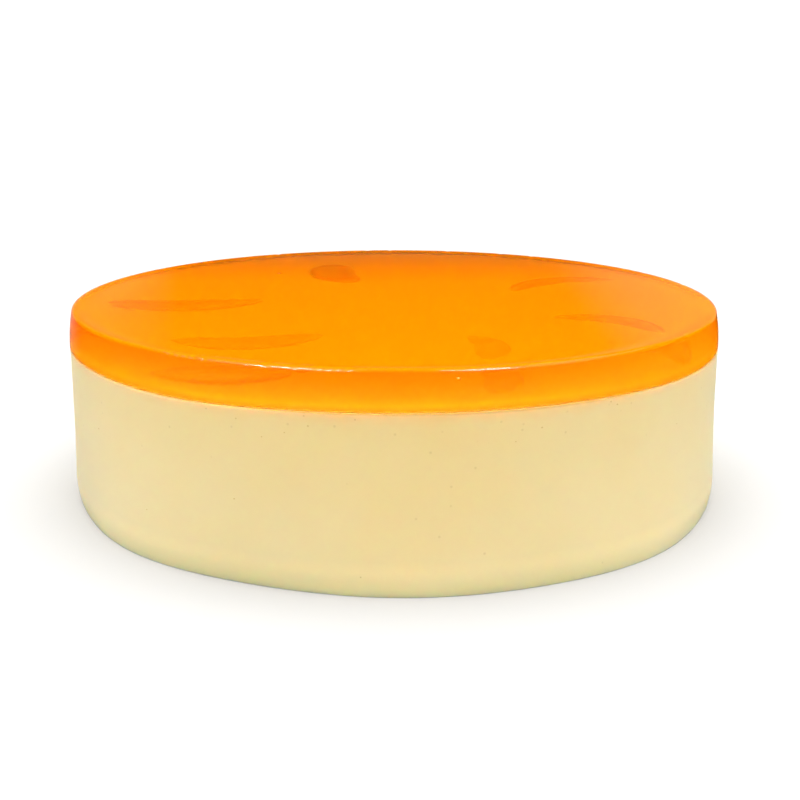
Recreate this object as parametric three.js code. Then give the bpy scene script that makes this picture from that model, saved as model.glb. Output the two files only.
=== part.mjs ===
// A round peach jelly cake, whole and uncut: a deep layer of set cream under a thin layer of
// clear jelly. Both set in one ring, so one wall runs up the side of the two layers.
//
// Millimetres, +Z up. The origin is on the cake's axis, at its underside. The cake is seen from
// the side of -Y, with +X to the right.

import * as THREE from 'three';

// Driving dimensions of the cake
const RING_RADIUS = 115;
const CAKE_HEIGHT = 67.9;
const JELLY_DEPTH = 12.7;
const CREAM_HEIGHT = CAKE_HEIGHT - JELLY_DEPTH;

// The wall leans out from the rim to the line where the layers meet, and the soft cream has sunk
// outwards below it, most of all just above the foot. Over its last few millimetres the wall is
// tucked in again.
const RIM_DRAW_IN = 1.15;
const MEETING_RADIUS = RING_RADIUS + RIM_DRAW_IN;
const FOOT_SPREAD = 1.55;
const SINKING_CURVE = 2.2;
const FOOT_TUCK = 1.3;
const TUCK_HEIGHT = 8;

// The rim has the small round of a set edge. The foot's is smaller still: the cream sits down on
// what the cake rests on almost with a corner.
const RIM_ROUNDING = 1.2;
const FOOT_ROUNDING = 0.4;

// A cake is never quite round, the cream's top edge never quite level, and the foot sinks out
// further in some places than in others. Each wave has its number of swells round the cake, the
// height of a swell, and the angle at which one of them peaks.
const OUTLINE_WAVES = [
  { swells: 2, height: 0.22, peak: 1.92 },
  { swells: 3, height: 0.16, peak: 1.2 },
  { swells: 7, height: 0.07, peak: 0.5 },
];
const MEETING_WAVES = [
  { swells: 1, height: 0.25, peak: 0.1 },
  { swells: 3, height: 0.2, peak: 0.74 },
  { swells: 5, height: 0.22, peak: -0.19 },
  { swells: 8, height: 0.12, peak: -0.24 },
];
const FOOT_WAVES = [
  { swells: 1, height: 0.65, peak: -0.25 },
  { swells: 2, height: 0.45, peak: 0 },
  { swells: 3, height: 0.4, peak: 0.9 },
  { swells: 5, height: 0.29, peak: 0.2 },
  { swells: 8, height: 0.6, peak: 0 },
];

// Fineness of the faceted solids
const STEPS_ROUND = 96;
const STEPS_UP_TUCK = 4;
const STEPS_UP_CREAM = 8;
const STEPS_UP_JELLY = 4;
const STEPS_IN_ROUNDING = 4;

// Colours and finishes
const CREAM_COLOUR = 0xeed896;
const CREAM_ROUGHNESS = 0.55;
const JELLY_COLOUR = 0xfe9b0a;
const JELLY_ROUGHNESS = 0.08;
const JELLY_OPACITY = 0.85;

function waveAt(waves, angle) {
  let sum = 0;
  for (const { swells, height, peak } of waves) {
    sum += height * Math.cos(swells * (angle - peak));
  }
  return sum;
}

// How far the cream has sunk outwards at a height: not at all where the layers meet and above,
// and fully at the underside
function sinkingAt(height) {
  return Math.max(0, 1 - height / CREAM_HEIGHT) ** SINKING_CURVE;
}

// Radius of the cream's wall at a height above the underside
function creamWallRadius(height) {
  const tucked = FOOT_TUCK * Math.max(0, 1 - height / TUCK_HEIGHT) ** 2;
  return MEETING_RADIUS + FOOT_SPREAD * sinkingAt(height) - tucked;
}

// Radius of the jelly's wall at a height above the underside
function jellyWallRadius(height) {
  const riseAboveMeeting = (height - CREAM_HEIGHT) / (JELLY_DEPTH - RIM_ROUNDING);
  return MEETING_RADIUS - RIM_DRAW_IN * riseAboveMeeting ** 2;
}

// Points of a quarter-round edge in the profile, from its first angle to a quarter turn later
function quarterRound(centreRadius, centreHeight, rounding, firstAngle) {
  const points = [];
  for (let step = 0; step <= STEPS_IN_ROUNDING; step += 1) {
    const angle = firstAngle + (Math.PI / 2) * (step / STEPS_IN_ROUNDING);
    const radius = centreRadius + rounding * Math.cos(angle);
    const height = centreHeight + rounding * Math.sin(angle);
    points.push(new THREE.Vector2(radius, height));
  }
  return points;
}

// Points up a wall, without its first and last height
function wallBetween(lowHeight, highHeight, steps, radiusAt) {
  const points = [];
  for (let step = 1; step < steps; step += 1) {
    const height = THREE.MathUtils.lerp(lowHeight, highHeight, step / steps);
    points.push(new THREE.Vector2(radiusAt(height), height));
  }
  return points;
}

// The face that the two layers share, from the axis out to the wall. It has no ring in between,
// so it is a fan of the same triangles in both layers, and they touch all over.
function meetingFace() {
  return [
    new THREE.Vector2(0, CREAM_HEIGHT),
    new THREE.Vector2(MEETING_RADIUS, CREAM_HEIGHT),
  ];
}

function creamProfile() {
  const footRadius = creamWallRadius(FOOT_ROUNDING) - FOOT_ROUNDING;
  return [
    new THREE.Vector2(0, 0),
    new THREE.Vector2(footRadius / 2, 0),
    ...quarterRound(footRadius, FOOT_ROUNDING, FOOT_ROUNDING, -Math.PI / 2),
    ...wallBetween(FOOT_ROUNDING, TUCK_HEIGHT, STEPS_UP_TUCK, creamWallRadius),
    new THREE.Vector2(creamWallRadius(TUCK_HEIGHT), TUCK_HEIGHT),
    ...wallBetween(TUCK_HEIGHT, CREAM_HEIGHT, STEPS_UP_CREAM, creamWallRadius),
    ...meetingFace().reverse(),
  ];
}

function jellyProfile() {
  const rimRadius = RING_RADIUS - RIM_ROUNDING;
  const rimHeight = CAKE_HEIGHT - RIM_ROUNDING;
  return [
    ...meetingFace(),
    ...wallBetween(CREAM_HEIGHT, rimHeight, STEPS_UP_JELLY, jellyWallRadius),
    ...quarterRound(rimRadius, rimHeight, RIM_ROUNDING, 0),
    new THREE.Vector2(rimRadius / 2, CAKE_HEIGHT),
    new THREE.Vector2(0, CAKE_HEIGHT),
  ];
}

// How strongly the meeting line's rise and fall is felt at a height: fully at the line itself,
// and not at all on the underside and on the top.
function meetingPull(height) {
  return height < CREAM_HEIGHT ? height / CREAM_HEIGHT : (CAKE_HEIGHT - height) / JELLY_DEPTH;
}

// Moves a true round of the lathe to where an uneven cake has it. The move depends on the place
// alone, so the two layers still meet at every point.
function makeUneven(geometry) {
  const place = geometry.getAttribute('position');
  for (let index = 0; index < place.count; index += 1) {
    const radius = Math.hypot(place.getX(index), place.getY(index));
    const angle = Math.atan2(place.getY(index), place.getX(index));
    const height = place.getZ(index);
    const share = radius / MEETING_RADIUS;
    const footSwell = waveAt(FOOT_WAVES, angle) * sinkingAt(height);
    const newRadius = radius + share * (waveAt(OUTLINE_WAVES, angle) + footSwell);
    const rise = waveAt(MEETING_WAVES, angle) * share ** 2 * meetingPull(height);
    place.setXYZ(index, newRadius * Math.cos(angle), newRadius * Math.sin(angle), height + rise);
  }
  geometry.computeVertexNormals();
}

function makeLayer(name, profile, material) {
  const geometry = new THREE.LatheGeometry(profile, STEPS_ROUND);
  geometry.rotateX(Math.PI / 2);
  makeUneven(geometry);
  const layer = new THREE.Mesh(geometry, material);
  layer.name = name;
  return layer;
}

const cream = new THREE.MeshStandardMaterial({
  color: CREAM_COLOUR,
  roughness: CREAM_ROUGHNESS,
  metalness: 0,
});

const jelly = new THREE.MeshStandardMaterial({
  color: JELLY_COLOUR,
  roughness: JELLY_ROUGHNESS,
  metalness: 0,
  transparent: true,
  opacity: JELLY_OPACITY,
});

const cake = new THREE.Group();
cake.add(makeLayer('cream_layer', creamProfile(), cream));
cake.add(makeLayer('jelly_layer', jellyProfile(), jelly));

export default cake;
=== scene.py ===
# %% [markdown]
# # Dressing a peach jelly cake
#
# The plain model of the cake is two solids: a deep layer of set cream, and a thin layer of
# jelly on top of it. It has the true sizes, and none of the looks. In this lesson each layer
# gets a fine mesh and a material of its own, and the peach slices that lie sunk in the jelly
# are made and laid in their places.
#
# Everything is in metres, +Z is up, and the front of the cake faces -Y.

# %% Load the plain model
import math
import random

import bpy
from mathutils import Euler, Matrix, Vector, noise


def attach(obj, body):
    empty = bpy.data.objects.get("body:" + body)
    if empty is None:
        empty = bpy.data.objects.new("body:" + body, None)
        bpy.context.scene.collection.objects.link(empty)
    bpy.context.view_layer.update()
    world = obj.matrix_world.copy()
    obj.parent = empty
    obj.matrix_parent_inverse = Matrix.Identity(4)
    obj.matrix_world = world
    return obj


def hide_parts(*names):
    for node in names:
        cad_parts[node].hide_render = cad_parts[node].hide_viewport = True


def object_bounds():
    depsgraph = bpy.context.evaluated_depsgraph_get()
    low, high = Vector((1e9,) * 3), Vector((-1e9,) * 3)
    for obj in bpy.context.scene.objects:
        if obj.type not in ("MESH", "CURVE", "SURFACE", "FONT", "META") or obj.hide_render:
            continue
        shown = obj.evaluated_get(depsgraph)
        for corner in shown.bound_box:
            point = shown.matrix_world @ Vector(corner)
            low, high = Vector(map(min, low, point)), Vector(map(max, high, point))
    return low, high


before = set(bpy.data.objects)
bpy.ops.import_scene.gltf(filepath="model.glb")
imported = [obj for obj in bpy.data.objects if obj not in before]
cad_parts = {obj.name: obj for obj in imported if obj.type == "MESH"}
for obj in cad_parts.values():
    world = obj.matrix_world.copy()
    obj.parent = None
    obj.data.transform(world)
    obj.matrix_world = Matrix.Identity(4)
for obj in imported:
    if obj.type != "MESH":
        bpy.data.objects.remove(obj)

MM = 0.001
cad_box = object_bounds()
print("plain model, lowest and highest corner:", cad_box)

# %% [markdown]
# ## The camera
#
# A picture is only like another if both are taken from the same place. The place could be
# found by trying, but the outline of a round cake gives it: how flat the ellipse of the rim
# looks says how high the camera stands, and how much flatter the far half is than the near
# half says how close it stands. It is close, about four times the cake's radius from its
# axis, so the top is seen at a low slant. It also leans to one side by a hair.

# %% Set the camera
LENS_MM = 56.36
SENSOR_MM = 36
CAMERA_BEFORE_AXIS = 453.2 * MM
CAMERA_ABOVE_BASE = 150.5 * MM
CAMERA_RIGHT_OF_AXIS = 2.1 * MM
CAMERA_LOOKS_DOWN = math.radians(15.11)
CAMERA_LEANS = math.radians(0.12)

camera_data = bpy.data.cameras.new("camera")
camera_data.lens = LENS_MM
camera_data.sensor_width = SENSOR_MM
camera_data.clip_start = 10 * MM
camera = bpy.data.objects.new("camera", camera_data)
camera.location = (CAMERA_RIGHT_OF_AXIS, -CAMERA_BEFORE_AXIS, CAMERA_ABOVE_BASE)
aim = Euler((math.radians(90) - CAMERA_LOOKS_DOWN, 0, 0)).to_matrix()
camera.rotation_euler = (aim @ Matrix.Rotation(CAMERA_LEANS, 3, "Z")).to_euler()
bpy.context.collection.objects.link(camera)
bpy.context.scene.camera = camera
print("camera at", tuple(round(part, 4) for part in camera.location))

# %% [markdown]
# ## The sizes
#
# The fine meshes have to lie where the plain solids lie, so they are worked out from the same
# few sizes. The jelly draws in a little to its rim. The cream has sunk outwards below it, most
# of all just above the foot. Over its last few millimetres it is tucked in again, so that the
# cake stands almost on a corner.

# %% Name the sizes
RING_RADIUS = 115 * MM
JELLY_DEPTH = 12.7 * MM
CAKE_HEIGHT = cad_box[1][2]
CREAM_HEIGHT = CAKE_HEIGHT - JELLY_DEPTH
RIM_DRAW_IN = 1.15 * MM
MEETING_RADIUS = RING_RADIUS + RIM_DRAW_IN
FOOT_SPREAD = 1.51 * MM
SINKING_CURVE = 2.2
FOOT_TUCK = 1.3 * MM
TUCK_HEIGHT = 8 * MM
FOOT_ROUNDING = 0.2 * MM
print("cake", round(CAKE_HEIGHT, 4), "high, cream", round(CREAM_HEIGHT, 4), "high")

# %% [markdown]
# ## How the cake is uneven
#
# A real cake is never quite round, the line where the layers meet rises and falls, and the
# foot sinks further out on one side than on another. Such slow swells could be sculpted by
# hand. A sum of cosine waves round the cake does the same, closes on itself, and gives the
# same cake on each run. Each wave is written as its number of swells, their height in
# millimetres, and the angle at which one of them peaks.

# %% Write the waves
OUTLINE_WAVES = ((2, 0.22, 1.92), (3, 0.16, 1.2), (7, 0.07, 0.5))
MEETING_WAVES = ((1, 0.25, 0.1), (3, 0.2, 0.74), (5, 0.22, -0.19), (8, 0.12, -0.24))
FOOT_WAVES = ((1, 0.65, -0.25), (2, 0.45, 0.0), (3, 0.4, 0.9), (5, 0.29, 0.2), (8, 0.6, 0.0))


def wave_at(waves, angle):
    return sum(height * MM * math.cos(swells * (angle - peak)) for swells, height, peak in waves)


def sinking_at(height):
    """How far the cream has sunk outwards: fully at the underside, not at all at its top."""
    return max(0, 1 - height / CREAM_HEIGHT) ** SINKING_CURVE


def meeting_pull(height):
    """How much of the meeting line's rise and fall is felt at this height."""
    if height < CREAM_HEIGHT:
        return height / CREAM_HEIGHT
    return (CAKE_HEIGHT - height) / JELLY_DEPTH


foot_swells = [wave_at(FOOT_WAVES, math.radians(angle)) / MM for angle in range(360)]
print("the foot swells from", round(min(foot_swells), 2), "to", round(max(foot_swells), 2), "mm")

# %% [markdown]
# The meeting line has small rises and falls as well, a few millimetres long, where the first
# spoonful of jelly ran up against the ring. Noise makes them. They are felt only close to the
# line and to the wall, so nothing else moves. With them, one function can say where a point
# of a perfectly round cake lies in the uneven one, and every piece below asks it.

# %% Move a point of a round cake to its place in the uneven one
MEETING_WOBBLE = 0.14 * MM
MEETING_WOBBLE_WIDTH = 2.5 * MM
WOBBLE_FADES_INWARDS = 8


def meeting_wobble(angle, radius, height):
    near_line = 1 - abs(height - CREAM_HEIGHT) / MEETING_WOBBLE_WIDTH
    near = near_line * (radius / MEETING_RADIUS) ** WOBBLE_FADES_INWARDS
    outwards = Vector((math.cos(angle), math.sin(angle), 0))
    along = outwards * MEETING_RADIUS / MEETING_WOBBLE_WIDTH
    return MEETING_WOBBLE * max(0, near) * noise.noise(along)


def uneven(angle, radius, height):
    """The place in the uneven cake of a point of a perfectly round one."""
    share = radius / MEETING_RADIUS
    foot_swell = wave_at(FOOT_WAVES, angle) * sinking_at(height)
    new_radius = radius + share * (wave_at(OUTLINE_WAVES, angle) + foot_swell)
    rise = wave_at(MEETING_WAVES, angle) * share**2 * meeting_pull(height)
    rise += meeting_wobble(angle, radius, height)
    return Vector((new_radius * math.cos(angle), new_radius * math.sin(angle), height + rise))


meeting_line = [uneven(math.radians(angle), MEETING_RADIUS, CREAM_HEIGHT) for angle in range(360)]
levels = [place.z / MM for place in meeting_line]
print("the meeting line lies between", round(min(levels), 2), "and", round(max(levels), 2), "mm")

# %% [markdown]
# ## Turning a shape
#
# Both layers are round, so both are turned: a profile is drawn from the axis out and back to
# the axis, and swept round. Blender's Screw modifier does that too, but it gives every ring
# the same number of sides. The rim needs very many, to carry small nicks, and the flat
# middle needs few. So the rings are written out here, and where two rings differ in their
# number of sides, one wide face on the coarse ring joins several on the fine one.

# %% Join two rings with faces
def faces_between(low, high):
    """Faces that join two rings, each given as (first vertex, number of vertices)."""
    (a, a_count), (b, b_count) = low, high
    coarse = min(a_count, b_count)
    if coarse == 1:
        fine = max(a_count, b_count)
        if a_count == 1:
            return [(a, b + (i + 1) % fine, b + i) for i in range(fine)]
        return [(a + i, a + (i + 1) % fine, b) for i in range(fine)]
    faces = []
    for i in range(coarse):
        a_run = range(i * a_count // coarse, (i + 1) * a_count // coarse + 1)
        b_run = range(i * b_count // coarse, (i + 1) * b_count // coarse + 1)
        along = [a + k % a_count for k in a_run]
        back = [b + k % b_count for k in reversed(b_run)]
        faces.append(along + back)
    return faces


print("rings of 4 and 8 points are joined by", len(faces_between((0, 4), (4, 8))), "faces")

# %% [markdown]
# A mesh in Blender is a list of points and a list of faces that name them. Smooth shading
# hides the facets. Edges that turn by more than a set angle stay sharp, such as the jelly's
# lower edge. A body is turned by placing one ring of points for each point of the profile.

# %% Make a mesh, and turn a profile into a body
SHARP_EDGE = math.radians(40)


def add_mesh(name, vertices, faces):
    mesh = bpy.data.meshes.new(name)
    mesh.from_pydata(vertices, [], faces)
    mesh.shade_smooth()
    mesh.set_sharp_from_angle(angle=SHARP_EDGE)
    piece = bpy.data.objects.new(name, mesh)
    bpy.context.collection.objects.link(piece)
    return piece


def turn(name, profile, place):
    """A closed round body. The profile is a list of (radius, height, sides) from the axis,
    out under the body, up its wall and back to the axis."""
    vertices, rings = [], []
    for radius, height, sides in profile:
        count = sides if radius > 0 else 1
        rings.append((len(vertices), count))
        vertices += [place(math.tau * side / count, radius, height) for side in range(count)]
    faces = []
    for low, high in zip(rings, rings[1:]):
        faces += faces_between(low, high)
    return add_mesh(name, vertices, faces)


print("edges stay sharp above", round(math.degrees(SHARP_EDGE)), "degrees")

# %% [markdown]
# Most of a profile is even steps up a wall, and at a rounded edge it is steps along a quarter
# of a circle. Two short helpers write both, so that the profiles below stay easy to read.

# %% Step along a wall and round an edge
def between(first, last, steps):
    """Values from first to last in even steps, the first and the last left out."""
    return [first + (last - first) * step / steps for step in range(1, steps)]


def quarter_round(centre_radius, centre_height, rounding, first_angle, steps):
    """Points of a rounded edge, from the first angle to a quarter turn on."""
    points = []
    for step in range(steps + 1):
        angle = first_angle + math.pi / 2 * step / steps
        radius = centre_radius + rounding * math.cos(angle)
        points.append((radius, centre_height + rounding * math.sin(angle)))
    return points


print("three steps from 0 to 3 leave", between(0, 3, 3), "in between")

# %% [markdown]
# ## The shape of the cream
#
# The profile of the cream goes out along the flat underside, round the foot, up the wall, and
# back in along the face that carries the jelly. The wall has many small steps, because the
# marks of the lining are cut into it. The flat faces have almost none.

# %% Draw the cream's profile
FINE_SIDES = 720
WIDE_SIDES = 180
INNER_RING = 0.7
FOOT_STEPS = 8
CREAM_STEPS = 56


def cream_wall_radius(height):
    tucked = FOOT_TUCK * max(0, 1 - height / TUCK_HEIGHT) ** 2
    return MEETING_RADIUS + FOOT_SPREAD * sinking_at(height) - tucked


foot_radius = cream_wall_radius(FOOT_ROUNDING) - FOOT_ROUNDING
foot = quarter_round(foot_radius, FOOT_ROUNDING, FOOT_ROUNDING, -math.pi / 2, FOOT_STEPS)
cream_profile = [(0, 0, 1), (foot_radius / 2, 0, WIDE_SIDES)]
cream_profile += [(radius, height, FINE_SIDES) for radius, height in foot]
for height in between(FOOT_ROUNDING, CREAM_HEIGHT, CREAM_STEPS):
    cream_profile.append((cream_wall_radius(height), height, FINE_SIDES))
cream_profile.append((MEETING_RADIUS, CREAM_HEIGHT, FINE_SIDES))
cream_profile.append((MEETING_RADIUS * INNER_RING, CREAM_HEIGHT, WIDE_SIDES))
cream_profile.append((0, CREAM_HEIGHT, 1))
print("the cream's profile has", len(cream_profile), "points")

# %% [markdown]
# The cream set against the inside of a ring, so its wall is smooth, with only the slow
# unevenness of a soft thing and the faint marks of the ring's lining. The marks could be a
# bump in the material, but then the wall's outline would stay straight. Here they are relief
# in the mesh, always cut inwards so that the cake keeps its size, and fading out towards the
# foot and the meeting line.

# %% Cut the marks of the lining, and turn the cream
RELIEF_DEPTH = 0.16 * MM
RELIEF_WIDTH = 14 * MM
FINER_RELIEF = 0.4
FINER_BY = 3
RELIEF_FADES_OVER = 3 * MM
WALL_THICKNESS = 2 * MM


def cream_place(angle, radius, height):
    """A point of the cream, with the marks of the lining cut into the wall."""
    place = uneven(angle, radius, height)
    if radius < MEETING_RADIUS - WALL_THICKNESS or not 0 < height < CREAM_HEIGHT:
        return place
    grain = noise.noise(place / RELIEF_WIDTH)
    grain += FINER_RELIEF * noise.noise(place * FINER_BY / RELIEF_WIDTH)
    fade = min(1, height / RELIEF_FADES_OVER, (CREAM_HEIGHT - height) / RELIEF_FADES_OVER)
    inwards = RELIEF_DEPTH * fade * (0.5 + 0.5 * max(-1, min(1, grain)))
    outwards = Vector((math.cos(angle), math.sin(angle), 0))
    return place - inwards * outwards


cream = turn("cream", cream_profile, cream_place)
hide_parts("cream_layer")
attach(cream, "root")
print("cream has", len(cream.data.polygons), "faces")

# %% [markdown]
# ## A board for shader nodes
#
# A material in Blender is a net of nodes: some say where a point is, some draw patterns, some
# mix colours, and the last one is the surface. In the Shader Editor they are joined by mouse.
# In a script each takes several lines, which hides what the net does. So this small board
# adds a node, fills its inputs with values or with other nodes' outputs, and hands back the
# output that is wanted next.

# %% Make the board
class NodeBoard:
    """The nodes of one material or world, with short ways to add to them."""

    def __init__(self, tree, output_kind):
        self.nodes = tree.nodes
        self.links = tree.links
        self.nodes.clear()
        self.output = self.nodes.new(output_kind)

    def fill(self, socket, value):
        """Joins an input to an output, or sets it to a number, a direction or a colour."""
        if isinstance(value, bpy.types.NodeSocket):
            self.links.new(value, socket)
        elif socket.type == "RGBA":
            socket.default_value = (*value, 1)
        else:
            socket.default_value = value

    def add(self, kind, settings=None, **inputs):
        node = self.nodes.new(kind)
        for setting, value in (settings or {}).items():
            setattr(node, setting, value)
        for name, value in inputs.items():
            self.fill(node.inputs[name.replace("_", " ")], value)
        return node

    def show(self, shader):
        """Makes a shader node the surface."""
        self.links.new(shader.outputs[0], self.output.inputs["Surface"])

    def place(self):
        """Where a point is, from the origin of its own piece."""
        return self.add("ShaderNodeTexCoord").outputs["Object"]

    def facing(self):
        """The direction in which the surface faces at a point."""
        return self.add("ShaderNodeNewGeometry").outputs["Normal"]

    def parts(self, vector):
        """The X, Y and Z of a place or a direction."""
        split = self.add("ShaderNodeSeparateXYZ", Vector=vector)
        return split.outputs["X"], split.outputs["Y"], split.outputs["Z"]


print("the board can", ", ".join(name for name in vars(NodeBoard) if name[0] != "_"))

# %% [markdown]
# Five more ways are used all the time: cloudy noise, a sum or comparison, a product, a mix
# of two colours, and a spread, which turns one range of values into another and holds its ends.
# Most of the masks below are a spread of a height or a distance.

# %% Add patterns and sums to the board
# Nearly all of Blender's noise lies in this span
NOISE_SPAN = (0.3, 0.7)


class MixingBoard(NodeBoard):
    """The board with noise, sums, colour mixes and spreads."""

    def noise(self, place, scale, detail):
        texture = self.add("ShaderNodeTexNoise", Vector=place, Scale=scale, Detail=detail)
        return texture.outputs["Fac"]

    def calculate(self, operation, first, second):
        node = self.add("ShaderNodeMath", {"operation": operation})
        self.fill(node.inputs[0], first)
        self.fill(node.inputs[1], second)
        return node.outputs["Value"]

    def times(self, first, second):
        return self.calculate("MULTIPLY", first, second)

    def mix(self, share, first, second):
        """The first colour where the share is 0, and the second where it is 1."""
        node = self.add("ShaderNodeMix", {"data_type": "RGBA"})
        for index, value in ((0, share), (6, first), (7, second)):
            self.fill(node.inputs[index], value)
        return node.outputs[2]

    def spread(self, value, low, high, to_low=0.0, to_high=1.0):
        node = self.add("ShaderNodeMapRange", Value=value)
        limits = {"From Min": low, "From Max": high, "To Min": to_low, "To Max": to_high}
        for name, limit in limits.items():
            node.inputs[name].default_value = limit
        return node.outputs["Result"]


def new_material(name):
    material = bpy.data.materials.new(name)
    material.use_nodes = True
    return material, MixingBoard(material.node_tree, "ShaderNodeOutputMaterial")


print("the full board adds", ", ".join(name for name in vars(MixingBoard) if name[0] != "_"))

# %% [markdown]
# ## The tones of the cream's wall
#
# Set cream is pale, and never one flat tone. Broad cloudy patches run through it from a light
# to a deep tone, with more of the deep one towards the top. The change from bottom to top is
# partly painted light: the lower wall is paler for the light from the floor below, and the top
# is deeper, partly from the jelly's juice and partly for the orange light through it. The foot
# is painted palest, as painted light: less light from above reaches it, yet it should look as
# bright as the rest. An image could be wrapped round the wall, but noise in three dimensions
# has no seam.

# %% Tint the cream's wall
CREAM_LIGHT = (0.865, 0.725, 0.375)
CREAM_DEEP = (0.835, 0.66, 0.275)
CREAM_FOOT_PAINTED_LIGHT = (1.0, 0.805, 0.405)
CLOUDS_PER_METRE = 28.0
PATCH_STRENGTH = 0.2
FOOT_BAND = (11 * MM, 2.5 * MM)

cream_material, board = new_material("set_cream")
place = board.place()
right, back, height = board.parts(place)

clouds = board.noise(place, CLOUDS_PER_METRE, 3.0)
patches = board.spread(clouds, 0.35, 0.65, -PATCH_STRENGTH, PATCH_STRENGTH)
# Paler low down and deeper towards the top: partly painted light, partly the jelly's juice
towards_top = board.spread(height, 5 * MM, CREAM_HEIGHT - 5 * MM, 0.1, 0.9)
deep_share = board.calculate("ADD", towards_top, patches)
cream_tone = board.mix(deep_share, CREAM_LIGHT, CREAM_DEEP)
# The foot is painted paler, as painted light where less light from above reaches it
foot_painted_light = board.spread(height, *FOOT_BAND)
cream_tone = board.mix(foot_painted_light, cream_tone, CREAM_FOOT_PAINTED_LIGHT)
print("the wall's tones take", len(board.nodes), "nodes")

# %% [markdown]
# Right under the jelly the cream is tinted warm. It is strongest at the meeting line and ends
# raggedly a few millimetres below it, so its depth is itself noise. The tint is partly a stain
# of juice that has seeped into the cream, and partly painted light: the orange glow that light
# through the jelly gives the cream. At the very edge a thin deeper line is painted shade that
# holds down that glow at the cream's top edge.

# %% Stain the cream under the jelly, and paint its glow and shade
CREAM_STAIN_AND_GLOW = (0.83, 0.56, 0.17)
CREAM_MEETING_SHADE = (0.66, 0.47, 0.12)
DEEPEST_STAIN = 5 * MM
SHALLOWEST_STAIN = 2.5 * MM
STAIN_AND_GLOW_STRENGTH = 0.6

ragged = board.noise(place, 90.0, 2.0)
deepest, shallowest = CREAM_HEIGHT - DEEPEST_STAIN, CREAM_HEIGHT - SHALLOWEST_STAIN
stain_edge = board.spread(ragged, *NOISE_SPAN, deepest, shallowest)
above_edge = board.calculate("SUBTRACT", height, stain_edge)
# Partly a stain of juice, partly painted glow of the light through the jelly
stain_and_glow = board.spread(above_edge, 0, DEEPEST_STAIN, 0, STAIN_AND_GLOW_STRENGTH)
cream_tone = board.mix(stain_and_glow, cream_tone, CREAM_STAIN_AND_GLOW)
# Painted shade: a thin deeper line at the very edge holds down the glow there
meeting_shade = board.spread(height, CREAM_HEIGHT - 0.6 * MM, CREAM_HEIGHT - 0.1 * MM)
cream_tone = board.mix(meeting_shade, cream_tone, CREAM_MEETING_SHADE)
print("with the stain it is", len(board.nodes), "nodes")

# %% [markdown]
# Air caught against the ring leaves tiny pores, most of them near the top. They are a pencil
# dot each, far too fine to model, so they are drawn: a Voronoi texture divides space into
# small cells, a random number of each cell says whether it has a pore, and the distance from
# the cell's middle draws the dot. The dot is darker: painted shade in the hollow of the pore.

# %% Prick the pores
PORE_PAINTED_SHADE = (0.58, 0.42, 0.16)
PORES_PER_METRE = 300.0
PORE_SHADE_STRENGTH = 0.35
PORE_BAND = 26 * MM
PORE_SHARES = (0.03, 0.4)
PORE_DOT = (0.06, 0.16)

cells = board.add("ShaderNodeTexVoronoi", Vector=place, Scale=PORES_PER_METRE, Randomness=1.0)
cell_number = board.add("ShaderNodeSeparateColor", Color=cells.outputs["Color"]).outputs["Red"]
pore_share = board.spread(height, CREAM_HEIGHT - PORE_BAND, CREAM_HEIGHT, *PORE_SHARES)
has_pore = board.calculate("LESS_THAN", cell_number, pore_share)
dot = board.spread(cells.outputs["Distance"], *PORE_DOT, 1.0, 0.0)
pore = board.times(has_pore, dot)
# Each pore is painted darker, as the shade in its hollow
wall_tone = board.mix(board.times(pore, PORE_SHADE_STRENGTH), cream_tone, PORE_PAINTED_SHADE)
print("with the pores it is", len(board.nodes), "nodes")

# %% [markdown]
# ## The cream's face under the jelly
#
# The jelly is clear, so its glow is mostly this face, lit and seen through it. The far part of
# the top is a deeper orange, and so is the rim's edge. That could be many coloured lamps, but it
# is far simpler to tint the face that is seen, as painted shade. Two masks find the place: how
# far back a point is, and how far from the axis.

# %% Find the far side and the edge
FAR_SIDE_STARTS = 30 * MM
FAR_SIDE_FULL = 90 * MM
IN_FRONT = (-18 * MM, -65 * MM)


def far_side(board, back, shift=0):
    """0 in the front half, and 1 near the back rim."""
    return board.spread(back, FAR_SIDE_STARTS + shift, FAR_SIDE_FULL + shift)


def from_axis(board, right, back):
    flat = board.add("ShaderNodeCombineXYZ", X=right, Y=back).outputs["Vector"]
    return board.add("ShaderNodeVectorMath", {"operation": "LENGTH"}, Vector=flat).outputs["Value"]


axis_distance = from_axis(board, right, back)
in_front = board.spread(back, *IN_FRONT)
print("with the masks it is", len(board.nodes), "nodes")

# %% [markdown]
# Looking in through the wall, the eye meets this face within about a centimetre of its edge.
# So a narrow band there sets the tones of the wall's lower half. At the front it turns a deep
# orange of painted shade and then, at the very corner, a dull yellow that keeps the meeting
# line soft. Near the back rim it is painted darker as well, as painted shade.

# %% Tint the face under the jelly
CREAM_UNDER_JELLY = (0.88, 0.635, 0.08)
CREAM_UNDER_FAR_SHADE = (0.66, 0.38, 0.06)
CREAM_EDGE_SHADE = (0.62, 0.295, 0.014)
CREAM_CORNER = (0.39, 0.32, 0.06)
CREAM_BACK_EDGE_SHADE = (0.60, 0.30, 0.04)
FACE_DARKENS_BEHIND = 13 * MM


def near_edge(starts, full, here):
    """A band that starts and is full so far in from the edge, on one part of the cake."""
    band = board.spread(axis_distance, MEETING_RADIUS - starts, MEETING_RADIUS - full)
    return board.times(band, here)


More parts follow.
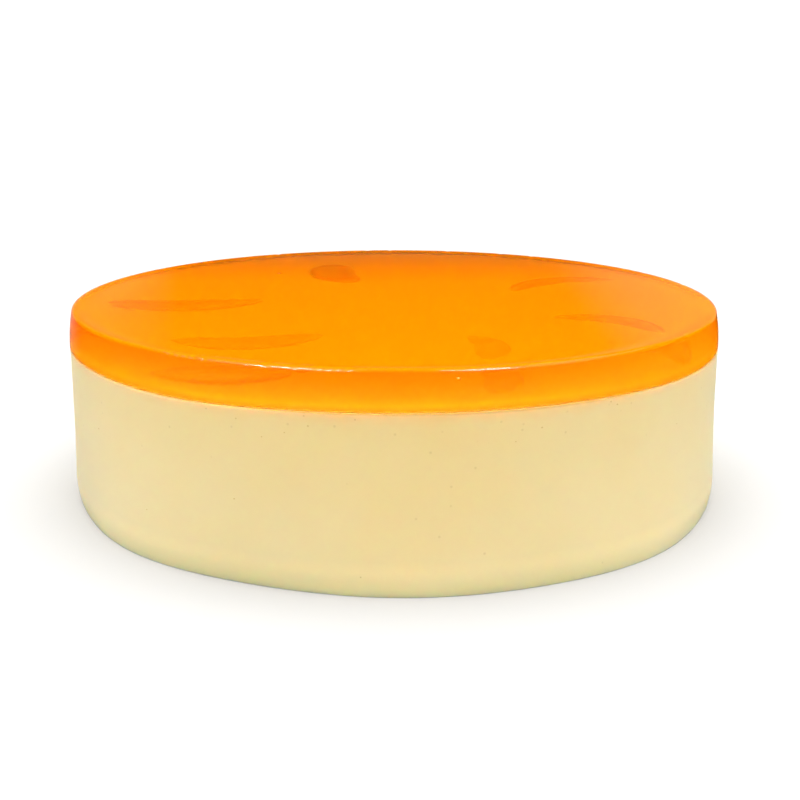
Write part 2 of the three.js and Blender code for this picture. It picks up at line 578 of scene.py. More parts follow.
# Painted shade: the far part of the face is deeper, and so are the bands at its front and back
# edges
far_face_shade = far_side(board, back, FACE_DARKENS_BEHIND)
face_tone = board.mix(far_face_shade, CREAM_UNDER_JELLY, CREAM_UNDER_FAR_SHADE)
face_tone = board.mix(near_edge(11 * MM, 4.5 * MM, in_front), face_tone, CREAM_EDGE_SHADE)
face_tone = board.mix(near_edge(3.4 * MM, 1.6 * MM, in_front), face_tone, CREAM_CORNER)
back_edge_shade = near_edge(6 * MM, 0, far_side(board, back))
face_tone = board.mix(back_edge_shade, face_tone, CREAM_BACK_EDGE_SHADE)
print("with the face it is", len(board.nodes), "nodes")

# %% [markdown]
# ## The finish of the cream
#
# Set cream is soft and a little moist. Light goes a few millimetres in, loses its blue, and
# comes out again, which is what Blender's subsurface does, and it lets the glow of the jelly
# into the cream's top edge. A fine grain is left to a bump, because it is finer than any mesh
# here, and a little sheen lightens the wall where it turns away.

# %% Give the cream its finish
SCATTERS_OVER = 2.5 * MM
GRAIN_STRENGTH = 0.12
GRAIN_HEIGHT = 0.3 * MM
PORE_DEPTH = 2.0
CREAM_ROUGHNESS = (0.42, 0.56)

faces_up = board.parts(board.facing())[2]
is_top = board.calculate("GREATER_THAN", faces_up, 0.5)
grain = board.noise(place, 420.0, 4.0)
relief = board.calculate("SUBTRACT", grain, board.times(pore, PORE_DEPTH))
bump = board.add("ShaderNodeBump", Height=relief, Strength=GRAIN_STRENGTH, Distance=GRAIN_HEIGHT)
shader = board.add(
    "ShaderNodeBsdfPrincipled",
    Base_Color=board.mix(is_top, wall_tone, face_tone),
    Roughness=board.spread(clouds, *NOISE_SPAN, *CREAM_ROUGHNESS),
    Normal=bump.outputs["Normal"],
    IOR=1.4,
    Subsurface_Weight=1.0,
    Subsurface_Scale=SCATTERS_OVER,
    Subsurface_Radius=(1.0, 0.7, 0.35),
    Sheen_Weight=0.22,
    Sheen_Roughness=0.8,
)
board.show(shader)
cream.data.materials.append(cream_material)
print("the cream's material has", len(board.nodes), "nodes in all")

# %% [markdown]
# ## The nicks in the jelly's rim
#
# When the ring came off it left small nicks in the rim, and they break up the streaks of
# light on it. Eleven are placed where the picture shows them, and twelve more at random on
# the side that isn't seen. A fixed seed makes the random ones the same on each run. Each nick
# is a soft dip with a middle, a width and a depth, and where two overlap the deeper one counts.

# %% Place the nicks
NICK_COUNT = 12
# Angles round the cake in degrees of the nicks that the picture shows
NICKS_SEEN = (-125.0, -123.4, -121.9, -120.6, -118.4, -108.2, -104.0, -100.5, -99.3, -98.0, -96.3)

random.seed(7)
nick_turns = [random.uniform(0, 180) for _ in range(NICK_COUNT)] + list(NICKS_SEEN)
nicks = []
for turn_degrees in nick_turns:
    half_width = random.uniform(0.5, 1.0) * MM
    full_depth = random.uniform(0.2, 0.4) * MM
    nicks.append((math.radians(turn_degrees), half_width, full_depth))


def nick_at(angle):
    """How deep the rim is nicked at this angle."""
    depth = 0
    for middle, half_width, full_depth in nicks:
        apart = (angle - middle + math.pi) % math.tau - math.pi
        depth = max(depth, full_depth * math.exp(-((apart * RING_RADIUS / half_width) ** 2)))
    return depth


print(len(nicks), "nicks, the deepest", round(max(depth for _, _, depth in nicks) / MM, 2), "mm")

# %% [markdown]
# ## The shape of the jelly
#
# Where the jelly touched the ring it climbed a little, so the top has a low lip that falls
# away over a few millimetres. Between the lip and the wall the rim has a small round, and it
# is that round which catches the lamps: with a sharp edge there would be no streak of light.
# The round stops one step short of level, and the lip's crest goes on from there.

# %% Draw the jelly's wall, rim and lip
RIM_ROUNDING = 1.1 * MM
ROUND_STEPS = 9
ROUND_STOPS_AT = math.pi / 2 * (ROUND_STEPS - 1) / ROUND_STEPS
CREST_INSIDE = 0.9 * MM
CREST_RISE = 0.08 * MM
LIP_HEIGHT = 0.16 * MM
LIP_WIDTH = 2.2 * MM
LIP_CURVE = 1.5

rim_radius = RING_RADIUS - RIM_ROUNDING
rim_height = CAKE_HEIGHT - CREST_RISE - RIM_ROUNDING * math.sin(ROUND_STOPS_AT)
rim_round = quarter_round(rim_radius, rim_height, RIM_ROUNDING, 0, ROUND_STEPS)[:-1]
top_radius = rim_round[-1][0]


def jelly_wall_radius(height):
    rise = (height - CREAM_HEIGHT) / (rim_height - CREAM_HEIGHT)
    return MEETING_RADIUS - RIM_DRAW_IN * rise**2


def top_height(inwards):
    """Height of the top, so far in from the rounded rim: up to the lip's crest, then down."""
    if inwards < CREST_INSIDE:
        return CAKE_HEIGHT - CREST_RISE * (1 - inwards / CREST_INSIDE) ** 2
    beyond = (inwards - CREST_INSIDE) / LIP_WIDTH
    return CAKE_HEIGHT - LIP_HEIGHT * (1 - math.exp(-(beyond**LIP_CURVE)))


print("the top is flat", round((CAKE_HEIGHT - top_height(10 * MM)) / MM, 2), "mm below the crest")

# %% [markdown]
# The jelly was poured on the set cream, so it lies on it without a gap. In Blender it has to
# reach a little way into the cream: if a film of air were left between them, the look into
# the jelly would end in a mirror. The steps along the top are small at the lip and grow
# towards the middle, where there is nothing to shape.

# %% Draw the jelly's profile
RIM_SIDES = 1440
DIP_INTO_CREAM = 0.5 * MM
JELLY_STEPS = 16
RIM_NEARS = 2 * MM
LIP_ENDS = 8 * MM
FIRST_STEP = 0.3 * MM
STEP_GROWS = 1.18
WIDEST_STEP = 3.5 * MM
LEFT_AT_AXIS = 4 * MM

underside = CREAM_HEIGHT - DIP_INTO_CREAM
jelly_profile = [
    (0, underside, 1),
    (MEETING_RADIUS * INNER_RING, underside, WIDE_SIDES),
    (MEETING_RADIUS - 2 * DIP_INTO_CREAM, underside, FINE_SIDES),
    (MEETING_RADIUS, CREAM_HEIGHT, FINE_SIDES),
]
for height in between(CREAM_HEIGHT, rim_height, JELLY_STEPS):
    sides = FINE_SIDES if height < rim_height - RIM_NEARS else RIM_SIDES
    jelly_profile.append((jelly_wall_radius(height), height, sides))
jelly_profile += [(radius, height, RIM_SIDES) for radius, height in rim_round]

inwards, step = 0, FIRST_STEP
while top_radius - inwards - step > LEFT_AT_AXIS:
    inwards += step
    step = min(step * STEP_GROWS, WIDEST_STEP)
    sides = RIM_SIDES if inwards < RIM_NEARS else FINE_SIDES if inwards < LIP_ENDS else WIDE_SIDES
    jelly_profile.append((top_radius - inwards, top_height(inwards), sides))
jelly_profile.append((0, CAKE_HEIGHT - LIP_HEIGHT, 1))
print("the jelly's profile has", len(jelly_profile), "points")

# %% [markdown]
# Two things move the points of the turned jelly. Close to the rim the nicks press it in and
# down. On the top a swell of a few hundredths of a millimetre, far too low to see as a shape,
# bends the mirror image a little, as on any surface that set by itself.

# %% Turn the jelly
NICK_REACH = 2.5 * MM
NICK_LEANS = 0.7
TOP_SWELL = 0.02 * MM
TOP_SWELL_WIDTH = 45 * MM
SWELL_FADES_OVER = 10 * MM


def jelly_place(angle, radius, height):
    """A point of the jelly, with the swell of its top and the nicks of its rim."""
    place = uneven(angle, radius, height)
    from_rim = math.hypot(max(0, rim_radius - radius), CAKE_HEIGHT - height)
    if from_rim < NICK_REACH:
        nick = nick_at(angle) * (1 - from_rim / NICK_REACH) ** 2
        outwards = Vector((math.cos(angle), math.sin(angle), NICK_LEANS))
        place -= nick * outwards
    if height > CREAM_HEIGHT + JELLY_DEPTH / 2 and radius < rim_radius:
        inside = min(1, (RING_RADIUS - radius) / SWELL_FADES_OVER)
        place.z += TOP_SWELL * inside * noise.noise(place / TOP_SWELL_WIDTH)
    return place


jelly = turn("jelly", jelly_profile, jelly_place)
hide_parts("jelly_layer")
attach(jelly, "root")
print("jelly has", len(jelly.data.polygons), "faces")

# %% [markdown]
# ## The haze of the jelly
#
# Jelly set from juice is clear, but not like glass: a slight haze glows all through it. True
# haze would be a scattering volume, which takes very long to render and comes out grainy. A
# share of plain coloured surface mixed into the clear one looks the same from outside. Its
# colour changes with place: deep orange on the top, more yellow on the wall and most of all
# at its right end, deeper again in a wavering band low on the wall, and redder at the far
# side, where the redder tone is painted shade.

# %% Colour the haze
HAZE_ON_TOP = (1.0, 0.36, 0.001)
HAZE_ON_WALL = (1.0, 0.58, 0.001)
HAZE_LOW_ON_WALL = (1.0, 0.46, 0.001)
HAZE_AT_RIGHT = (1.0, 0.84, 0.001)
HAZE_FAR_SHADE = (0.72, 0.27, 0.001)
RIGHT_END = (30 * MM, 90 * MM)
LOW_BAND_TOP = 6.5 * MM
LOW_BAND_FULL = 2 * MM
WAVERS_BY = 1.6 * MM
TOP_STARTS = 0.2 * MM
TOP_FULL = 0.9 * MM

jelly_material, board = new_material("clear_jelly")
place = board.place()
right, back, height = board.parts(place)

at_right = board.spread(right, *RIGHT_END)
haze = board.mix(at_right, HAZE_ON_WALL, HAZE_AT_RIGHT)
wavering = board.spread(board.noise(place, 55.0, 2.0), *NOISE_SPAN, -WAVERS_BY, WAVERS_BY)
level = board.calculate("ADD", height, wavering)
low_band = board.spread(level, CREAM_HEIGHT + LOW_BAND_FULL, CREAM_HEIGHT + LOW_BAND_TOP, 1, 0)
haze = board.mix(low_band, haze, HAZE_LOW_ON_WALL)
is_top = board.spread(height, rim_height + TOP_STARTS, rim_height + TOP_FULL)
haze = board.mix(is_top, haze, HAZE_ON_TOP)
# The far side is painted redder, as painted shade
haze = board.mix(far_side(board, back), haze, HAZE_FAR_SHADE)
print("the haze takes", len(board.nodes), "nodes")

# %% [markdown]
# The clear part is a Principled shader with full transmission, and its colour comes from
# depth: an absorbing volume takes all of the blue and some of the green, so thin jelly looks
# yellow and deep jelly orange. The top set in air and is glossy. The wall set against a
# lining and is slightly rough, which blurs what is seen through it.

# %% Mix the clear jelly with its haze
JELLY_IOR = 1.36
JELLY_ABSORBS = 300.0
JELLY_PASSES = (0.998, 0.893, 0.0)
HAZE_SHARE = 0.22
TOP_ROUGHNESS = 0.06
WALL_ROUGHNESS = 0.28

faces_up = board.parts(board.facing())[2]
roughness = board.spread(faces_up, 0.0, 0.35, WALL_ROUGHNESS, TOP_ROUGHNESS)
clear = board.add("ShaderNodeBsdfPrincipled", Base_Color=(1, 1, 1), Roughness=roughness,
                  IOR=JELLY_IOR, Transmission_Weight=1.0)
cloudy = board.add("ShaderNodeBsdfPrincipled", Base_Color=haze, Roughness=roughness, IOR=JELLY_IOR)
both = board.add("ShaderNodeMixShader", Fac=HAZE_SHARE)
board.fill(both.inputs[1], clear.outputs["BSDF"])
board.fill(both.inputs[2], cloudy.outputs["BSDF"])
board.show(both)
body = board.add("ShaderNodeVolumeAbsorption", Color=JELLY_PASSES, Density=JELLY_ABSORBS)
board.fill(board.output.inputs["Volume"], body.outputs["Volume"])
jelly.data.materials.append(jelly_material)
print("the jelly's material has", len(board.nodes), "nodes in all")

# %% [markdown]
# ## The peach slices
#
# A slice of tinned peach is a crescent with blunt ends. The skin side is the thick one, and the
# slice gets thinner towards the core side. It could be cut from a ball with a Boolean, but a
# crescent is simpler to sweep: rings across the slice from end to end, each a rounded wedge that
# stands on its flat cut. Noise makes the faces uneven, and a subdivision modifier rounds off
# the edges. This kind of noise, which gives a direction, takes a new start from the clock on
# each run unless it is given a seed. So it is given one, or the slices would never be the same
# twice.

# %% Draw the rings of a slice
SLICE_RINGS = 26
SLICE_RELIEF = 0.5 * MM
SLICE_RELIEF_WIDTH = 6 * MM
RELIEF_SEED = 7
END_BLUNTNESS = 3
END_CURVE = 0.6
# Round one section: how far from the core side to the skin side, and how far up
SECTION = ((0.0, 0.0), (0.33, 0.0), (0.67, 0.0), (1.0, 0.0), (1.05, 0.15), (1.05, 0.45),
           (0.98, 0.75), (0.86, 0.93), (0.7, 1.0), (0.52, 0.97), (0.35, 0.84), (0.2, 0.62),
           (0.08, 0.36), (0.0, 0.14))

noise.seed_set(RELIEF_SEED)


def slice_rings(length, bend, width, high, seed):
    """Rings of points along a crescent that bulges to +Y by the bend."""
    points = []
    shift = Vector((seed, 0, 0))
    for ring in range(1, SLICE_RINGS):
        along = -math.cos(math.pi * ring / SLICE_RINGS)
        middle = bend * (1 - along**2)
        full = (1 - abs(along) ** END_BLUNTNESS) ** END_CURVE
        for across, up in SECTION:
            outwards = middle + width * full * (across - 0.5)
            point = Vector((along * length / 2, outwards, high * full * up))
            point += noise.noise_vector(point / SLICE_RELIEF_WIDTH + shift) * SLICE_RELIEF
            points.append(point)
    return points


print("a slice has", SLICE_RINGS - 1, "rings of", len(SECTION), "points")

# %% [markdown]
# The rings are joined by faces from each to the next, as with the turned layers. At the two
# ends the last ring closes in a fan on one point, and the modifier turns that into a blunt
# rounded end.

# %% Join the rings into a slice
def peach_slice(name, length, bend, width, high, seed):
    """A crescent along X. The seed gives it an uneven face of its own."""
    vertices = slice_rings(length, bend, width, high, seed)
    around = len(SECTION)
    faces = []
    for ring in range(SLICE_RINGS - 2):
        for k in range(around):
            a = ring * around + k
            b = ring * around + (k + 1) % around
            faces.append((a, a + around, b + around, b))
    left, right = len(vertices), len(vertices) + 1
    vertices += [Vector((-length / 2, 0, 0)), Vector((length / 2, 0, 0))]
    last = (SLICE_RINGS - 2) * around
    for k in range(around):
        after = (k + 1) % around
        faces.append((left, k, after))
        faces.append((last + k, right, last + after))
    piece = add_mesh(name, vertices, faces)
    smooth = piece.modifiers.new("soft edges", "SUBSURF")
    smooth.levels = smooth.render_levels = 1
    return piece


print("a slice has", SLICE_RINGS * len(SECTION), "faces before it is smoothed")


# %% [markdown]
# Someone laid the slices by hand round the middle of the cake before the jelly was poured, so
# no two lie alike. Their places could be picked in a top view. They were worked out from the
# picture instead, with the bending of the view at the jelly's surface allowed for. A few are
# tilted, so that one end sinks into the cream and fades.

# %% Lay the slices in the jelly
# Each slice, in millimetres and degrees: the middle between its ends to the right and back,
# its length, the direction from end to end, how far it bends, its width, its height, and how
# far its last end is tilted down
SLICES = (
    (-21.4, 63.3, 47, 98.8, 4.1, 18.5, 5.5, 0),
    (66.8, 36.2, 51, 31.2, 9.5, 11.0, 4.5, 0),
    (71.8, -39.9, 43, -39.0, 8.6, 10.5, 4.6, 3.0),
    (26.0, -73.0, 36, -86.6, 4.0, 12.0, 1.6, 0),
    (-47.2, -59.0, 49, 189.2, 8.2, 17.0, 3.1, 0.5),
    (-77.5, 1.2, 58, 182.6, 7.8, 20.0, 4.4, 2.0),
)
SUNK_IN_CREAM = 0.5 * MM
SEED_STEP = 3.7

peach_slices = []
for number, (right, back, length, direction, bend, width, high, tilt) in enumerate(SLICES, 1):
    sizes = [size * MM for size in (length, bend, width, high)]
    piece = peach_slice(f"peach_slice_{number}", *sizes, number * SEED_STEP)
    piece.location = (right * MM, back * MM, CREAM_HEIGHT - SUNK_IN_CREAM)
    piece.rotation_euler = (0, math.radians(tilt), math.radians(direction))
    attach(piece, "root")
    peach_slices.append(piece)
print(len(peach_slices), "peach slices laid")

# %% [markdown]
# ## The flesh of the peach
#
# Peach flesh is juicy: light goes into it, and where it is thin the bright cream shows
# through. Real see-through flesh inside jelly is slow to render, so the thinness is a colour,
# painted light: the low, thin parts are close to the colour of the cream around them. The
# steep sides are painted close to the cream's colour too, as painted light, so that they don't
# show as shade. Only the high, broad part that faces up has the full orange of the flesh. That
# also lets the outline fade softly. Fine noise makes the fibres.

# %% Mix the peach's material
THIN_FLESH = (0.83, 0.53, 0.08)
THIN_RIPE_FLESH = (0.80, 0.45, 0.08)
SIDE_FLESH_PAINTED_LIGHT = (0.96, 0.66, 0.08)
PALE_FLESH, PALE_FIBRES = (0.89, 0.35, 0.033), (0.87, 0.28, 0.022)
RIPE_FLESH, RIPE_FIBRES = (0.64, 0.22, 0.01), (0.60, 0.18, 0.008)
FULL_FLESH_HEIGHT = 3.8 * MM
FIBRES_PER_METRE = 160.0


def peach_flesh(name, thin_tone, flesh_tone, fibre_tone):
    material, board = new_material(name)
    place = board.place()
    height = board.parts(place)[2]
    faces_up = board.parts(board.facing())[2]
    flesh = board.mix(board.noise(place, FIBRES_PER_METRE, 3.0), flesh_tone, fibre_tone)
    thick = board.spread(height, SUNK_IN_CREAM, FULL_FLESH_HEIGHT)
    upper = board.spread(faces_up, 0.0, 0.7, 0.15, 1.0)
    flesh = board.mix(board.times(thick, upper), thin_tone, flesh)
    # The steep sides are painted light, so that they don't show as shade
    steep = board.spread(faces_up, 0.5, 0.1, 0.0, 0.85)
    flesh = board.mix(steep, flesh, SIDE_FLESH_PAINTED_LIGHT)
    board.show(board.add(
        "ShaderNodeBsdfPrincipled", Base_Color=flesh, Roughness=0.4, IOR=1.4,
        Subsurface_Weight=0.6, Subsurface_Scale=2 * MM, Subsurface_Radius=(1.0, 0.5, 0.2)))
    return material


pale_flesh = peach_flesh("peach_flesh", THIN_FLESH, PALE_FLESH, PALE_FIBRES)
ripe_flesh = peach_flesh("ripe_peach_flesh", THIN_RIPE_FLESH, RIPE_FLESH, RIPE_FIBRES)
peach_slices[0].data.materials.append(ripe_flesh)
for piece in peach_slices[1:]:
    piece.data.materials.append(pale_flesh)
print("one slice is riper than the other", len(peach_slices) - 1)

# %% [markdown]
# ## Air bubbles
#
# Two small bubbles were caught when the jelly was poured. A ball from the Add menu would look
# too perfect: a bubble in a stiff jelly is a little flattened and not quite round, so it is
# turned from a short profile and then dented.

# %% Blow the bubbles
# Each bubble, in millimetres: its place to the right, back and up, and its half width
BUBBLES = ((-47.05, 51.0, 66.4, 1.1), (18.4, -112.3, 64.6, 0.65))
BUBBLE_STEPS = 12
BUBBLE_SIDES = 24
BUBBLE_FLATNESS = 0.75
BUBBLE_DENTS = 0.25
BUBBLE_SEED_STEP = 5.3


def bubble(name, half_width, seed):
    """A flattened, dented little body round the origin."""
    def dented(angle, radius, height):
        point = Vector((radius * math.cos(angle), radius * math.sin(angle), height))
        return point * (1 + BUBBLE_DENTS * noise.noise(point / half_width + Vector((seed, 0, 0))))

    profile = []
    for step in range(BUBBLE_STEPS + 1):
        climb = math.pi * (step / BUBBLE_STEPS - 0.5)
        radius = half_width * math.cos(climb) if 0 < step < BUBBLE_STEPS else 0
        profile.append((radius, BUBBLE_FLATNESS * half_width * math.sin(climb), BUBBLE_SIDES))
    return turn(name, profile, dented)


bubbles = []
for number, (right, back, up, half_width) in enumerate(BUBBLES, 1):
    piece = bubble(f"bubble_{number}", half_width * MM, number * BUBBLE_SEED_STEP)
    piece.location = (right * MM, back * MM, up * MM)
    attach(piece, "root")
    bubbles.append(piece)
print(len(bubbles), "bubbles blown")

# %% [markdown]
# Air inside jelly bends light the other way round than jelly inside air. An IOR below 1 says
# that: one divided by the jelly's own.

# %% Fill the bubbles with air
air, board = new_material("air_bubble")
board.show(board.add("ShaderNodeBsdfPrincipled", Base_Color=(1, 1, 1), Roughness=0.05,
                     IOR=1 / JELLY_IOR, Transmission_Weight=1.0))
for piece in bubbles:
    piece.data.materials.append(air)
print("the IOR of a bubble is", round(1 / JELLY_IOR, 3))

# %% [markdown]
# ## Specks in the cream
#
# A few darker specks sit in the cream's wall where it lay against the ring. Each is a tiny
# flattened lump of its own shape, sunk until it hardly stands out. They could be scattered by
# Geometry Nodes, but there are few, and most have a set place. All of them are one
# mesh, because nobody will ever move a single speck.

# %% Shape one speck
SPECK_SIDES = 10
# The two rings of a speck: how wide, and how far out of the wall in millimetres
SPECK_RINGS = ((1.0, -0.12), (0.8, 0.03))
SPECK_BOTTOM = -0.15 * MM
SPECK_TOP = 0.06 * MM
SPECK_FLATNESS = 0.8
SPECK_DENTS = 0.5
SPECK_SEED_STEP = 2.3
UP = Vector((0, 0, 1))


def speck_points(number, turn_degrees, up, half_width):
    """Two rings of points in the wall, then the middle of the bottom and of the top."""
    angle, height = math.radians(turn_degrees), up * MM
    middle = cream_place(angle, cream_wall_radius(height), height)
    outwards = Vector((math.cos(angle), math.sin(angle), 0))
    sideways = Vector((-math.sin(angle), math.cos(angle), 0))
    points = []
    for share, depth in SPECK_RINGS:
        for side in range(SPECK_SIDES):
            around = math.tau * side / SPECK_SIDES
            x, y = math.cos(around), math.sin(around)
            dent = noise.noise(Vector((x, y, number * SPECK_SEED_STEP)))
            reach = half_width * MM * share * (1 + SPECK_DENTS * dent)
            on_ring = reach * x * sideways + SPECK_FLATNESS * reach * y * UP
            points.append(middle + depth * MM * outwards + on_ring)
    return points + [middle + SPECK_BOTTOM * outwards, middle + SPECK_TOP * outwards]


def speck_faces(first):
    """Faces of the speck whose points start at this number."""
    faces = []
    bottom = first + 2 * SPECK_SIDES
    for side in range(SPECK_SIDES):
        a, b = first + side, first + (side + 1) % SPECK_SIDES
        faces.append((a, b, b + SPECK_SIDES, a + SPECK_SIDES))
        faces.append((b, a, bottom))
        faces.append((a + SPECK_SIDES, b + SPECK_SIDES, bottom + 1))
    return faces


print("a speck has", 2 * SPECK_SIDES + 2, "points and", len(speck_faces(0)), "faces")

# %% [markdown]
# Each speck asks the cream's own function where the wall is, so it sits in the wall wherever
# the cake bulges. The first sixteen are those of the picture. The last five are on the back,
# which would look bare without any.

# %% Press the specks into the wall
# Each speck: the angle round the cake in degrees, its height and its half width in millimetres
SPECKS = ((-117.9, 53.6, 0.35), (-112.9, 51.7, 0.3), (-102.5, 53.9, 0.3), (-101.9, 51.0, 0.4),
          (-105.4, 48.7, 0.3), (-95.2, 53.4, 0.35), (-108.9, 46.9, 0.3), (-144.7, 36.6, 0.4),
          (-68.4, 49.0, 0.35), (-72.4, 45.6, 0.3), (-56.5, 53.8, 0.4), (-55.2, 52.6, 0.4),
          (-113.6, 26.9, 0.3), (-130.7, 17.0, 0.3), (-94.5, 6.5, 0.3), (-40.0, 41.0, 0.3),
          (20.0, 50.0, 0.35), (64.0, 38.0, 0.3), (101.0, 51.5, 0.4), (140.0, 22.0, 0.3),
          (171.0, 47.0, 0.35))
SPECK_TONE = (0.76, 0.58, 0.24)
SPECK_DEEP_TONE = (0.60, 0.42, 0.14)

vertices, faces = [], []
for number, speck in enumerate(SPECKS):
    faces += speck_faces(len(vertices))
    vertices += speck_points(number, *speck)
specks = add_mesh("cream_specks", vertices, faces)
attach(specks, "root")

speck_material, board = new_material("speck")
mottled = board.noise(board.place(), 900.0, 2.0)
speck_tone = board.mix(mottled, SPECK_TONE, SPECK_DEEP_TONE)
board.show(board.add("ShaderNodeBsdfPrincipled", Base_Color=speck_tone, Roughness=0.6))
specks.data.materials.append(speck_material)
print(len(SPECKS), "specks pressed in")

# %% [markdown]
# ## The floor
#
# The picture was taken on white, and the cake casts almost no shadow there: its floor is bright
# all round, and it lights the wall from below. A wide, plain, pale floor does the same. It is
# hidden from mirror rays and from rays that have passed through the jelly, because in the
# picture the jelly's wall shows orange depth where it would otherwise show a white floor.

# %% Lay the floor
FLOOR_REACH = 4
FLOOR_GREY = 0.45

corners = [(-1, -1), (1, -1), (1, 1), (-1, 1)]
floor_points = [(x * FLOOR_REACH, y * FLOOR_REACH, 0) for x, y in corners]
floor = add_mesh("floor", floor_points, [(0, 1, 2, 3)])
floor.visible_glossy = False
floor.visible_transmission = False

floor_material, board = new_material("floor")
board.show(board.add("ShaderNodeBsdfPrincipled", Base_Color=(FLOOR_GREY, FLOOR_GREY, FLOOR_GREY),
                     Roughness=0.9, Specular_IOR_Level=0.0))
floor.data.materials.append(floor_material)
print("floor", 2 * FLOOR_REACH, "m across")

# %% [markdown]
# ## The light
#
# Most of the light comes from straight above, soft and even. A Sun with a very wide disc is
# such a ceiling, and unlike a lamp of a set size it lights the floor alike everywhere. It is
# left out of reflections, so that the top of the jelly doesn't mirror it.

# %% Hang the ceiling
def place_lamp(name, data, azimuth, elevation, distance, target):
    """Azimuth in degrees from the front to the right, elevation up from the floor."""
    lamp = bpy.data.objects.new(name, data)
    turn_to, climb = math.radians(azimuth), math.radians(elevation)
    lamp.location = (distance * math.sin(turn_to) * math.cos(climb),
                     -distance * math.cos(turn_to) * math.cos(climb), distance * math.sin(climb))
    towards = Vector(target) - lamp.location
    lamp.rotation_euler = towards.to_track_quat("-Z", "Y").to_euler()
    lamp.visible_camera = False
    bpy.context.collection.objects.link(lamp)
    return lamp


CEILING_STRENGTH = 8.0
CEILING_SPREAD = math.radians(90)
# Straight down, which way round a lamp is turned would be undefined
ALMOST_OVERHEAD = 89.9

ceiling_data = bpy.data.lights.new("ceiling", "SUN")
ceiling_data.energy = CEILING_STRENGTH
ceiling_data.angle = CEILING_SPREAD
ceiling = place_lamp("ceiling", ceiling_data, 0, ALMOST_OVERHEAD, 1, (0, 0, 0))
ceiling.visible_glossy = False
print("the ceiling spreads over", round(math.degrees(CEILING_SPREAD)), "degrees")

# %% [markdown]
# The two bright streaks on the rim are tall windows or soft boxes in front, one to the left
# and one to the right. Two dim ones further round make the paler line that goes on from the
# streaks, and two dim panels lighten the ends of the rim and of the jelly's wall. What they
# would add to the light on the cake is in the ceiling's already, so these lamps are only for
# the mirror: they shine in reflections and light nothing else.

# %% Hang the windows
WINDOW_DISTANCE = 1.4


def add_window(name, azimuth, elevation, width, height, radiance):
    """A lamp that only mirrors show. Width and height are in degrees, seen from the cake."""
    data = bpy.data.lights.new(name, "AREA")
    data.shape = "RECTANGLE"
    data.size = 2 * WINDOW_DISTANCE * math.tan(math.radians(width / 2))
    data.size_y = 2 * WINDOW_DISTANCE * math.tan(math.radians(height / 2))
    data.energy = 4 * data.size * data.size_y * radiance
    lamp = place_lamp(name, data, azimuth, elevation, WINDOW_DISTANCE, (0, 0, CAKE_HEIGHT))
    lamp.visible_diffuse = False
    lamp.visible_transmission = False
    lamp.visible_volume_scatter = False
    print(name, "at", azimuth, "degrees,", round(data.energy, 1), "W")


add_window("left_window", -44, 50, 19, 30, 23)
add_window("right_window", 37, 50, 15, 30, 22)
add_window("far_left_window", -64, 38, 26, 30, 0.8)
add_window("far_right_window", 62, 38, 26, 30, 0.8)
add_window("left_side_panel", -92, 56, 40, 24, 1.0)
add_window("right_side_panel", 98, 56, 60, 24, 0.8)

# %% [markdown]
# ## The room
#
# What the glossy top mirrors isn't the white that the camera sees: it is a dark room behind
# the cake, with a pale wall at the right whose edge leans, and a paler patch at the left. A
# model of the room would do, but a world can be painted by direction: each patch is a
# spread of how far to the right or how far up a ray goes.

# %% Paint what the top mirrors
RIGHT_WALL_FACES = (0.814, -0.019, -0.581)
RIGHT_WALL_GLOW = 0.13
LEFT_PATCH_GLOW = 0.125
HORIZON_GLOW = 0.12
RIGHT_WALL_EDGE = (-0.01, 0.03)
LEFT_PATCH_EDGE = (-0.175, -0.225)
LEFT_PATCH_FADES = (0.160, 0.190, 1.15, 0.4)
HORIZON_EDGE = (0.144, 0.149)
BEHIND_FROM = 0.8

world = bpy.data.worlds.new("room")
bpy.context.scene.world = world
world.use_nodes = True
board = MixingBoard(world.node_tree, "ShaderNodeOutputWorld")
direction = board.add("ShaderNodeTexCoord").outputs["Generated"]
across, away, upwards = board.parts(direction)

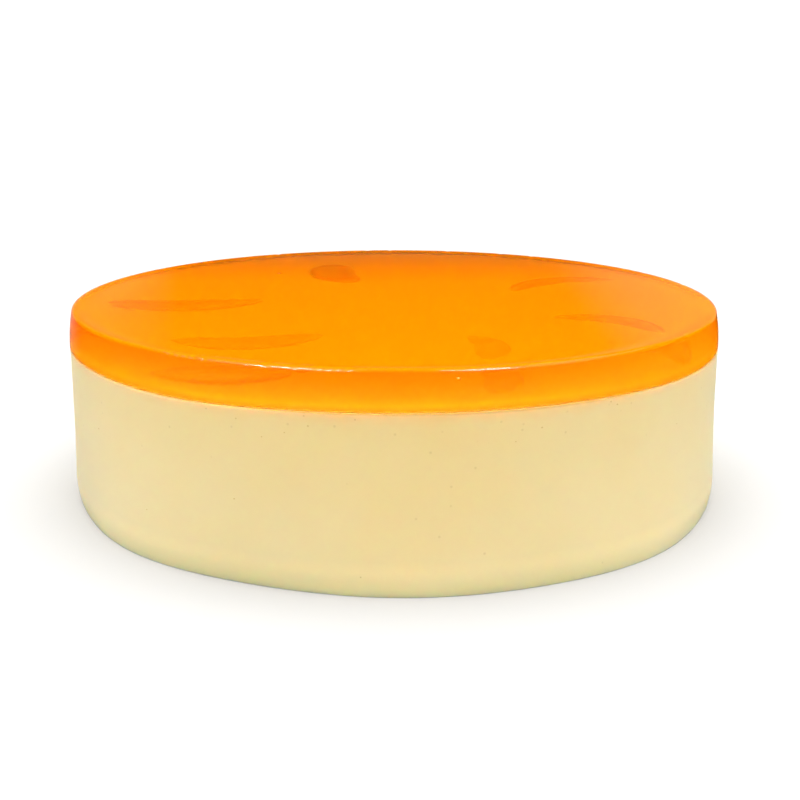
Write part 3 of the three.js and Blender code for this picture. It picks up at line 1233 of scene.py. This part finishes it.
beyond_edge = board.add("ShaderNodeVectorMath", {"operation": "DOT_PRODUCT"})
board.fill(beyond_edge.inputs[0], direction)
board.fill(beyond_edge.inputs[1], RIGHT_WALL_FACES)
right_wall = board.spread(beyond_edge.outputs["Value"], *RIGHT_WALL_EDGE, 0, RIGHT_WALL_GLOW)
left_patch = board.spread(across, *LEFT_PATCH_EDGE, 0, LEFT_PATCH_GLOW)
left_patch = board.times(left_patch, board.spread(upwards, *LEFT_PATCH_FADES))
horizon = board.spread(upwards, *HORIZON_EDGE, HORIZON_GLOW, 0)
glow = board.calculate("ADD", board.calculate("ADD", right_wall, left_patch), horizon)
behind = board.calculate("GREATER_THAN", away, BEHIND_FROM)
above_floor = board.calculate("GREATER_THAN", upwards, 0.0)
glow = board.times(glow, board.times(behind, above_floor))
print("the room behind the cake takes", len(board.nodes), "nodes")

# %% [markdown]
# The rays that enter the jelly's wall at its left end leave it low at the back. A glow below
# the floor, on that side alone, stands for the light that comes in there.

# %% Light the wall's left end from behind
LOW_GLOW = 0.34
LOW_GLOW_BEHIND = (0.76, 0.92)
LOW_GLOW_LEFT = (-0.1, -0.2)

low_behind = board.spread(away, *LOW_GLOW_BEHIND, 0, LOW_GLOW)
at_left = board.spread(across, *LOW_GLOW_LEFT)
below_floor = board.calculate("LESS_THAN", upwards, 0.0)
glow = board.calculate("ADD", glow, board.times(low_behind, board.times(at_left, below_floor)))
print("with the low glow it is", len(board.nodes), "nodes")

# %% [markdown]
# A world can show one thing to the camera and another to all other rays, by the Light Path
# node. The camera gets plain white, a little over full, so that it stays pure white in the
# picture. The Standard view shows the colours as they were mixed, with no film look on top.

# %% Show the camera white
CAMERA_WHITE = 1.15

is_camera_ray = board.add("ShaderNodeLightPath").outputs["Is Camera Ray"]
room = board.add("ShaderNodeBackground", Color=(1, 1, 1), Strength=glow)
white = board.add("ShaderNodeBackground", Color=(1, 1, 1), Strength=CAMERA_WHITE)
either = board.add("ShaderNodeMixShader", Fac=is_camera_ray)
board.fill(either.inputs[1], room.outputs["Background"])
board.fill(either.inputs[2], white.outputs["Background"])
board.show(either)
bpy.context.scene.view_settings.view_transform = "Standard"
print("the room has", len(board.nodes), "nodes in all")

# %% [markdown] ## Last
